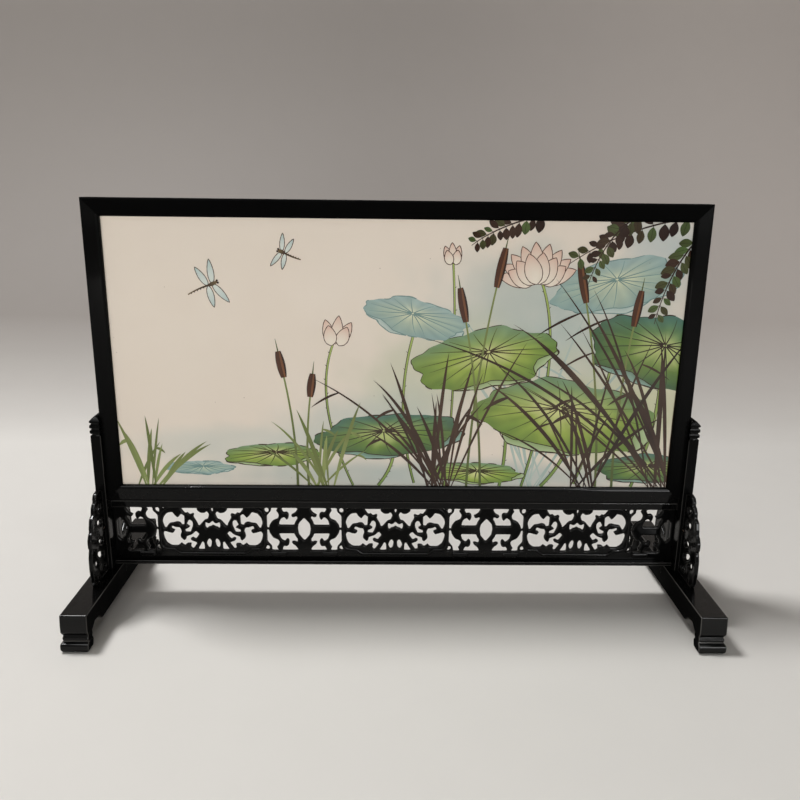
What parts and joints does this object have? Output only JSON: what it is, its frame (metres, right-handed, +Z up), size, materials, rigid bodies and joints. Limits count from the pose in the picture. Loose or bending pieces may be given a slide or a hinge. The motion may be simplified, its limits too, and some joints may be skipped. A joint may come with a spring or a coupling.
{
  "type": "table screen",
  "caption": "Table screen: a wide glazed porcelain plaque in a black lacquered frame that stands in the grooved posts of a stand with pierced fretwork apron, brackets and scroll feet.",
  "frame": {"origin": "on the table, under the middle of the stand", "axes": "+X along the screen to the right as seen from the front, -Y towards the viewer, +Z up"},
  "size_m": [0.4404, 0.1618, 0.29],
  "materials": {
    "black_lacquer": "ebonised wood with gloss black lacquer",
    "porcelain": "clear glaze over a cream body, enamel painting",
    "felt": "soft felt",
    "bare_hardwood": "bare",
    "brass": "dull"
  },
  "bodies": {
    "stand": {"left_foot": "black_lacquer", "right_foot": "black_lacquer", "left_post": "black_lacquer", "right_post": "black_lacquer", "left_front_bracket": "black_lacquer", "right_front_bracket": "black_lacquer", "left_rear_bracket": "black_lacquer", "right_rear_bracket": "black_lacquer", "bracket_dowels": "bare_hardwood", "post_pegs": "black_lacquer", "apron_top_rail": "black_lacquer", "apron_panel": "black_lacquer", "apron_bottom_rail": "black_lacquer"},
    "screen": {"frame_top_rail": "black_lacquer", "frame_bottom_rail": "black_lacquer", "frame_left_stile": "black_lacquer", "frame_right_stile": "black_lacquer", "corner_keys": "black_lacquer", "porcelain_plaque": "porcelain", "plaque_padding": "felt", "back_board": "black_lacquer", "back_bead_top": "black_lacquer", "back_bead_bottom": "black_lacquer", "back_bead_left": "black_lacquer", "back_bead_right": "black_lacquer", "bead_pins": "brass"}
  },
  "joints": [
    {"name": "screen_lift", "type": "slide", "parent": "stand", "child": "screen", "axis": [0, 0, 1], "range_m": [0, 0.07]}
  ]
}
